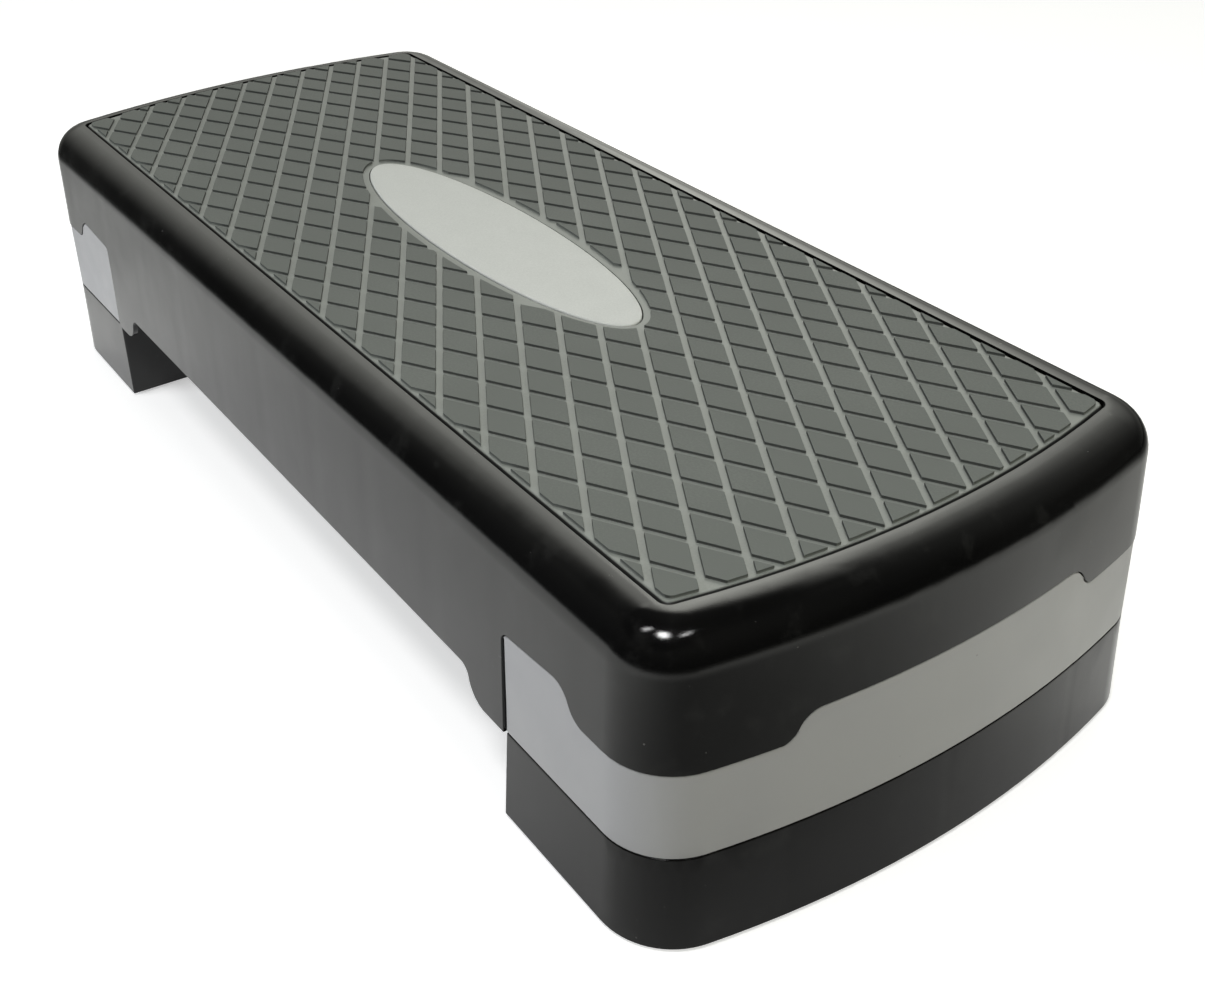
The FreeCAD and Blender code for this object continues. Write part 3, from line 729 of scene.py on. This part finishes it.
class STEP_OT_badge(bpy.types.Operator):
    """Make the bare oval plate in the middle of the mat"""

    bl_idname = "step_platform.badge"
    bl_label = "Badge plate"

    def execute(self, context):
        sizes = context.scene.step_sizes
        low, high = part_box("badge_plate")
        mesh = bmesh.new()
        bmesh.ops.create_circle(mesh, cap_ends=True, radius=1.0, segments=BADGE_STEPS)
        bmesh.ops.scale(mesh, vec=(high.x, high.y, 1.0), verts=mesh.verts)
        bmesh.ops.translate(mesh, vec=(0.0, 0.0, low.z), verts=mesh.verts)
        raised = bmesh.ops.extrude_face_region(mesh, geom=mesh.faces[:])["geom"]
        top = [item for item in raised if isinstance(item, bmesh.types.BMFace)]
        lift = high.z - sizes.badge_crown - low.z
        rim = [item for item in raised if isinstance(item, bmesh.types.BMVert)]
        bmesh.ops.translate(mesh, vec=(0.0, 0.0, lift), verts=rim)
        round_edges(mesh, list(top[0].edges), sizes.badge_edge, 4)
        top = max(mesh.faces, key=lambda face: face.calc_center_median().z)
        for shrink, share in BADGE_RINGS:
            raised = bmesh.ops.extrude_discrete_faces(mesh, faces=[top])["faces"]
            top = raised[0]
            bmesh.ops.scale(mesh, vec=(shrink, shrink, 1.0), verts=top.verts)
            bmesh.ops.translate(mesh, vec=(0.0, 0.0, share * sizes.badge_crown), verts=top.verts)
        bmesh.ops.recalc_face_normals(mesh, faces=mesh.faces)
        film = badge_film("pale_film", context.scene.step_colours)
        settle(finished_piece(mesh, "badge_plate_film", film), "badge_plate")
        return {"FINISHED"}


class STEP_OT_blocks(bpy.types.Operator):
    """Make the two grey end blocks"""

    bl_idname = "step_platform.blocks"
    bl_label = "End blocks"

    def execute(self, context):
        scene = context.scene
        sizes = scene.step_sizes
        plastic = grey_plastic("matte_grey_block", scene.step_colours)
        for end in ENDS:
            moulding("end_block_" + end, sizes.block_edge, plastic, sizes.block_lean)
        return {"FINISHED"}


class STEP_OT_risers(bpy.types.Operator):
    """Make the two black risers"""

    bl_idname = "step_platform.risers"
    bl_label = "Risers"

    def execute(self, context):
        scene = context.scene
        plastic = black_plastic("satin_black_riser", scene.step_colours, "Y", RIB_PITCH_END, RISER_SINK_REACH)
        for end in ENDS:
            moulding("riser_" + end, scene.step_sizes.mould_edge, plastic)
        return {"FINISHED"}


class STEP_OT_feet(bpy.types.Operator):
    """Make the rubber feet of the risers and end blocks"""

    bl_idname = "step_platform.feet"
    bl_label = "Rubber feet"

    def execute(self, context):
        rubber = foot_rubber("foot_rubber", context.scene.step_colours)
        groove = context.scene.step_sizes.foot_groove
        for node in sorted(name for name in frame["nodes"] if "_foot_" in name):
            low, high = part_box(node)
            middle = (low + high) / 2
            radius = (high.x - low.x) / 2
            floor, shoulder, tip = low.z, high.z - FOOT_STEM_LENGTH, high.z
            # Radius and height of each point, from the middle of the sole to the tip of the stem.
            profile = (
                (0.0, floor), (0.60 * radius, floor), (0.64 * radius, floor + groove),
                (0.74 * radius, floor + groove), (0.78 * radius, floor), (0.93 * radius, floor),
                (0.98 * radius, floor + 0.0003), (radius, floor + 0.0009),
                (radius, shoulder - 0.0004), (0.97 * radius, shoulder), (FOOT_STEM_RADIUS, shoulder),
                (FOOT_STEM_RADIUS, tip - 0.0006), (0.8 * FOOT_STEM_RADIUS, tip), (0.0, tip),
            )
            mesh = bmesh.new()
            turned_profile(mesh, profile, middle.x, middle.y)
            bmesh.ops.remove_doubles(mesh, verts=mesh.verts, dist=MERGE_REACH)
            bmesh.ops.recalc_face_normals(mesh, faces=mesh.faces)
            settle(finished_piece(mesh, node + "_rubber", rubber), node)
        return {"FINISHED"}


class STEP_OT_screws(bpy.types.Operator):
    """Make the screws that hold the end blocks to the deck"""

    bl_idname = "step_platform.screws"
    bl_label = "Block screws"

    def execute(self, context):
        zinc = zinc_plate("zinc_plate", context.scene.step_colours)
        recess = context.scene.step_sizes.recess_depth
        for end, side in zip(ENDS, (-1, 1)):
            node = "block_screws_" + end
            low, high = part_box(node)
            mesh = bmesh.new()
            for x, y in SCREW_PLACES:
                for across in (-y, y):
                    self.one_screw(mesh, side * x, across, low.z, high.z, recess)
            bmesh.ops.remove_doubles(mesh, verts=mesh.verts, dist=MERGE_REACH)
            bmesh.ops.recalc_face_normals(mesh, faces=mesh.faces)
            settle(finished_piece(mesh, node + "_zinc", zinc), node)
        return {"FINISHED"}

    def one_screw(self, mesh, x, y, foot, tip, recess):
        """A pan head that faces down, with a cross recess, and a ridged shank."""
        head, shank, arm = SCREW_HEAD_RADIUS, SCREW_SHANK_RADIUS, RECESS_ARM
        neck = foot + SCREW_HEAD_HEIGHT
        profile = [
            (0.0, foot + recess), (0.6 * arm, foot + 0.8 * recess), (arm, foot), (0.8 * head, foot),
            (0.95 * head, foot + 0.0004), (head, foot + 0.0012), (head, neck), (shank, neck),
        ]
        for count in range(SCREW_RIDGES):
            height = neck + (tip - 0.001 - neck) * (count + 1) / (SCREW_RIDGES + 1)
            profile += [(RIDGE_ROOT * shank, height - 0.0004), (shank, height)]
        profile += [(RIDGE_ROOT * shank, tip - 0.0008), (0.4 * shank, tip), (0.0, tip)]
        before = set(mesh.verts)
        turned_profile(mesh, profile, x, y)
        for vert in set(mesh.verts) - before:
            reach = math.hypot(vert.co.x - x, vert.co.y - y)
            if vert.co.z > foot + recess or reach > arm + MERGE_REACH or reach < MERGE_REACH:
                continue
            turn = math.atan2(vert.co.y - y, vert.co.x - x)
            off = abs((turn + math.pi / 4) % (math.pi / 2) - math.pi / 4)
            limit = min(arm / math.cos(off), RECESS_HALF_WIDTH / max(math.sin(off), 1e-3))
            shrink = min(1.0, limit / arm)
            vert.co.x = x + (vert.co.x - x) * shrink
            vert.co.y = y + (vert.co.y - y) * shrink


class STEP_OT_stage(bpy.types.Operator):
    """Make the floor, the room, the lamps and the camera"""

    bl_idname = "step_platform.stage"
    bl_label = "Stage"

    def execute(self, context):
        scene = context.scene
        self.floor(scene)
        self.room(scene)
        for lamp in LAMPS:
            self.lamp(scene, *lamp)
        self.camera(scene)
        scene.view_settings.view_transform = "Standard"
        return {"FINISHED"}

    def floor(self, scene):
        """A floor that the camera sees as white. For the pieces it has painted shade in front, far out and
        behind, and a painted glow close to the step.
        """
        stage = scene.step_stage
        mesh = bmesh.new()
        bmesh.ops.create_circle(mesh, cap_ends=True, radius=stage.floor_radius, segments=FLOOR_STEPS)
        data = bpy.data.meshes.new("studio_floor")
        mesh.to_mesh(data)
        mesh.free()
        paint = Finish("white_sweep")
        seen = paint.add("ShaderNodeLightPath").outputs["Is Camera Ray"]
        # Painted shadow: a dark patch in front of the near corner, for the pieces only.
        near = paint.distance(stage.painted_shadow_place)
        light = paint.spread(near, PAINTED_SHADOW_CORE * stage.painted_shadow_reach, stage.painted_shadow_reach, stage.painted_shadow_level, 1.0)
        # Painted shade: the floor turns dark for the pieces far out and behind the step.
        out = paint.distance((0.0, 0.0, 0.0))
        fade = paint.spread(out, stage.floor_white, stage.floor_dark, 1.0, PAINTED_SHADE_FAR_LEVEL)
        behind = paint.spread(paint.axes.outputs["Y"], *stage.floor_back, 1.0, PAINTED_SHADE_BACK_LEVEL)
        light = paint.sum("MULTIPLY", light, paint.sum("MULTIPLY", fade, behind))
        long_way, cross_way = (
            paint.sum("SUBTRACT", paint.sum("ABSOLUTE", paint.axes.outputs[axis]), CAD_BOX[1][place])
            for place, axis in enumerate("XY")
        )
        # Painted light: the floor glows close to the step, brightest at its foot, for the pieces only.
        close = paint.spread(
            paint.sum("MAXIMUM", long_way, cross_way), 0.0, stage.painted_glow_reach, stage.painted_glow_level, 0.0
        )
        close = paint.sum("MULTIPLY", close, light)
        light = paint.sum("MAXIMUM", light, seen)
        # The painted shadow and shade are mixed towards this black; the camera still sees the floor's colour.
        dim = (0.0, 0.0, 0.0, 1.0)
        base = paint.mix(light, dim, tuple(scene.step_colours.floor))
        paint.feed(paint.shader.inputs["Base Color"], base)
        paint.shader.inputs["Roughness"].default_value = 0.9
        paint.shader.inputs["Specular IOR Level"].default_value = 0.0
        paint.shader.inputs["Emission Color"].default_value = (1.0, 1.0, 1.0, 1.0)
        # The camera sees the even lift to white; the pieces see the painted glow close to the step.
        glow = paint.sum("MAXIMUM", paint.sum("MULTIPLY", seen, stage.floor_glow), close)
        paint.feed(paint.shader.inputs["Emission Strength"], glow)
        data.materials.append(paint.material)
        floor = bpy.data.objects.new("studio_floor", data)
        scene.collection.objects.link(floor)

    def room(self, scene):
        """A dark room with one bright wall behind the step, and white to the camera."""
        stage = scene.step_stage
        world = bpy.data.worlds.new("studio")
        world.use_nodes = True
        scene.world = world
        tree = world.node_tree

        def add(kind, *values):
            """A node whose first sockets are set or linked in order."""
            node = tree.nodes.new(kind)
            for socket, value in zip(node.inputs, values):
                if isinstance(value, bpy.types.NodeSocket):
                    tree.links.new(value, socket)
                else:
                    socket.default_value = value
            return node

        way = add("ShaderNodeSeparateXYZ", add("ShaderNodeTexCoord").outputs["Generated"]).outputs
        back = add("ShaderNodeMath", way["X"], -1.0)
        back.operation = "MULTIPLY"
        turn = add("ShaderNodeMath", way["Y"], back.outputs[0])
        turn.operation = "ARCTAN2"
        first, last = (math.radians(WALL_STOPS[place][0]) for place in (0, -1))
        ramp = add("ShaderNodeValToRGB", add("ShaderNodeMapRange", turn.outputs[0], first, last).outputs[0])
        stops = ramp.color_ramp.elements
        while len(stops) < len(WALL_STOPS):
            stops.new(1.0)
        for stop, (degrees, level) in zip(stops, WALL_STOPS):
            stop.position = (math.radians(degrees) - first) / (last - first)
            stop.color = [level * part for part in stage.wall_tint] + [1.0]
        height = add("ShaderNodeMath", way["Y"], WALL_SLOPE, way["Z"])
        height.operation = "MULTIPLY_ADD"
        bright, faded = stage.wall_light, WALL_TOP_LEVEL * stage.wall_light
        fade = add("ShaderNodeMapRange", height.outputs[0], *stage.wall_top, bright, faded)
        fade.interpolation_type = "SMOOTHSTEP"
        foot = add("ShaderNodeMapRange", way["Z"], *stage.wall_foot, WALL_FOOT_LEVEL, 1.0)
        level = add("ShaderNodeMath", fade.outputs[0], foot.outputs[0])
        level.operation = "MULTIPLY"
        wall = add("ShaderNodeBackground", ramp.outputs[0], level.outputs[0])
        white = add("ShaderNodeBackground", (1.0, 1.0, 1.0, 1.0))
        seen = add("ShaderNodeLightPath").outputs["Is Camera Ray"]
        choice = add("ShaderNodeMixShader", seen, wall.outputs[0], white.outputs[0])
        tree.links.new(choice.outputs[0], tree.nodes["World Output"].inputs["Surface"])

    def lamp(self, scene, name, place, aim, size, power, shine, tint):
        """An oval lamp. One that doesn't shine lights the pieces but isn't mirrored in them."""
        data = bpy.data.lights.new(name, "AREA")
        data.shape = "ELLIPSE"
        data.size, data.size_y = size
        data.energy = power
        data.color = tint
        lamp = bpy.data.objects.new(name, data)
        lamp.location = place
        lamp.rotation_euler = (Vector(aim) - Vector(place)).to_track_quat("-Z", "Y").to_euler()
        lamp.visible_glossy = shine
        scene.collection.objects.link(lamp)

    def camera(self, scene):
        """The camera, at the place and turn of the picture."""
        stage = scene.step_stage
        data = bpy.data.cameras.new("camera")
        data.sensor_fit = "HORIZONTAL"
        data.sensor_width = 36.0
        data.lens = stage.lens
        camera = bpy.data.objects.new("camera", data)
        turn = (
            Matrix.Rotation(stage.azimuth, 4, "Z")
            @ Matrix.Rotation(math.pi / 2 - stage.elevation, 4, "X")
            @ Matrix.Rotation(stage.roll, 4, "Z")
        )
        camera.matrix_world = Matrix.Translation(stage.place) @ turn
        scene.collection.objects.link(camera)
        scene.camera = camera


class STEP_PT_panel(bpy.types.Panel):
    """Lists the pieces of the step"""

    bl_idname = "STEP_PT_panel"
    bl_label = "Aerobic step platform"
    bl_space_type = "VIEW_3D"
    bl_region_type = "UI"
    bl_category = "Step"

    def draw(self, context):
        for operator in OPERATORS:
            self.layout.operator(operator.bl_idname)
        for group in (context.scene.step_sizes, context.scene.step_colours, context.scene.step_stage):
            box = self.layout.box()
            for name in group.__annotations__:
                box.prop(group, name)


GROUPS = (StepSizes, StepColours, StepStage)
OPERATORS = (
    STEP_OT_deck, STEP_OT_tread, STEP_OT_badge, STEP_OT_blocks, STEP_OT_risers,
    STEP_OT_feet, STEP_OT_screws, STEP_OT_stage,
)


def register():
    for item in (*GROUPS, *OPERATORS, STEP_PT_panel):
        bpy.utils.register_class(item)
    bpy.types.Scene.step_sizes = PointerProperty(type=StepSizes)
    bpy.types.Scene.step_colours = PointerProperty(type=StepColours)
    bpy.types.Scene.step_stage = PointerProperty(type=StepStage)


def unregister():
    del bpy.types.Scene.step_stage
    del bpy.types.Scene.step_colours
    del bpy.types.Scene.step_sizes
    for item in reversed((*GROUPS, *OPERATORS, STEP_PT_panel)):
        bpy.utils.unregister_class(item)


def main():
    register()
    bpy.ops.step_platform.deck()
    bpy.ops.step_platform.tread()
    bpy.ops.step_platform.badge()
    bpy.ops.step_platform.blocks()
    bpy.ops.step_platform.risers()
    bpy.ops.step_platform.feet()
    bpy.ops.step_platform.screws()
    bpy.ops.step_platform.stage()
    bpy.context.view_layer.update()


if __name__ == "__main__":
    main()
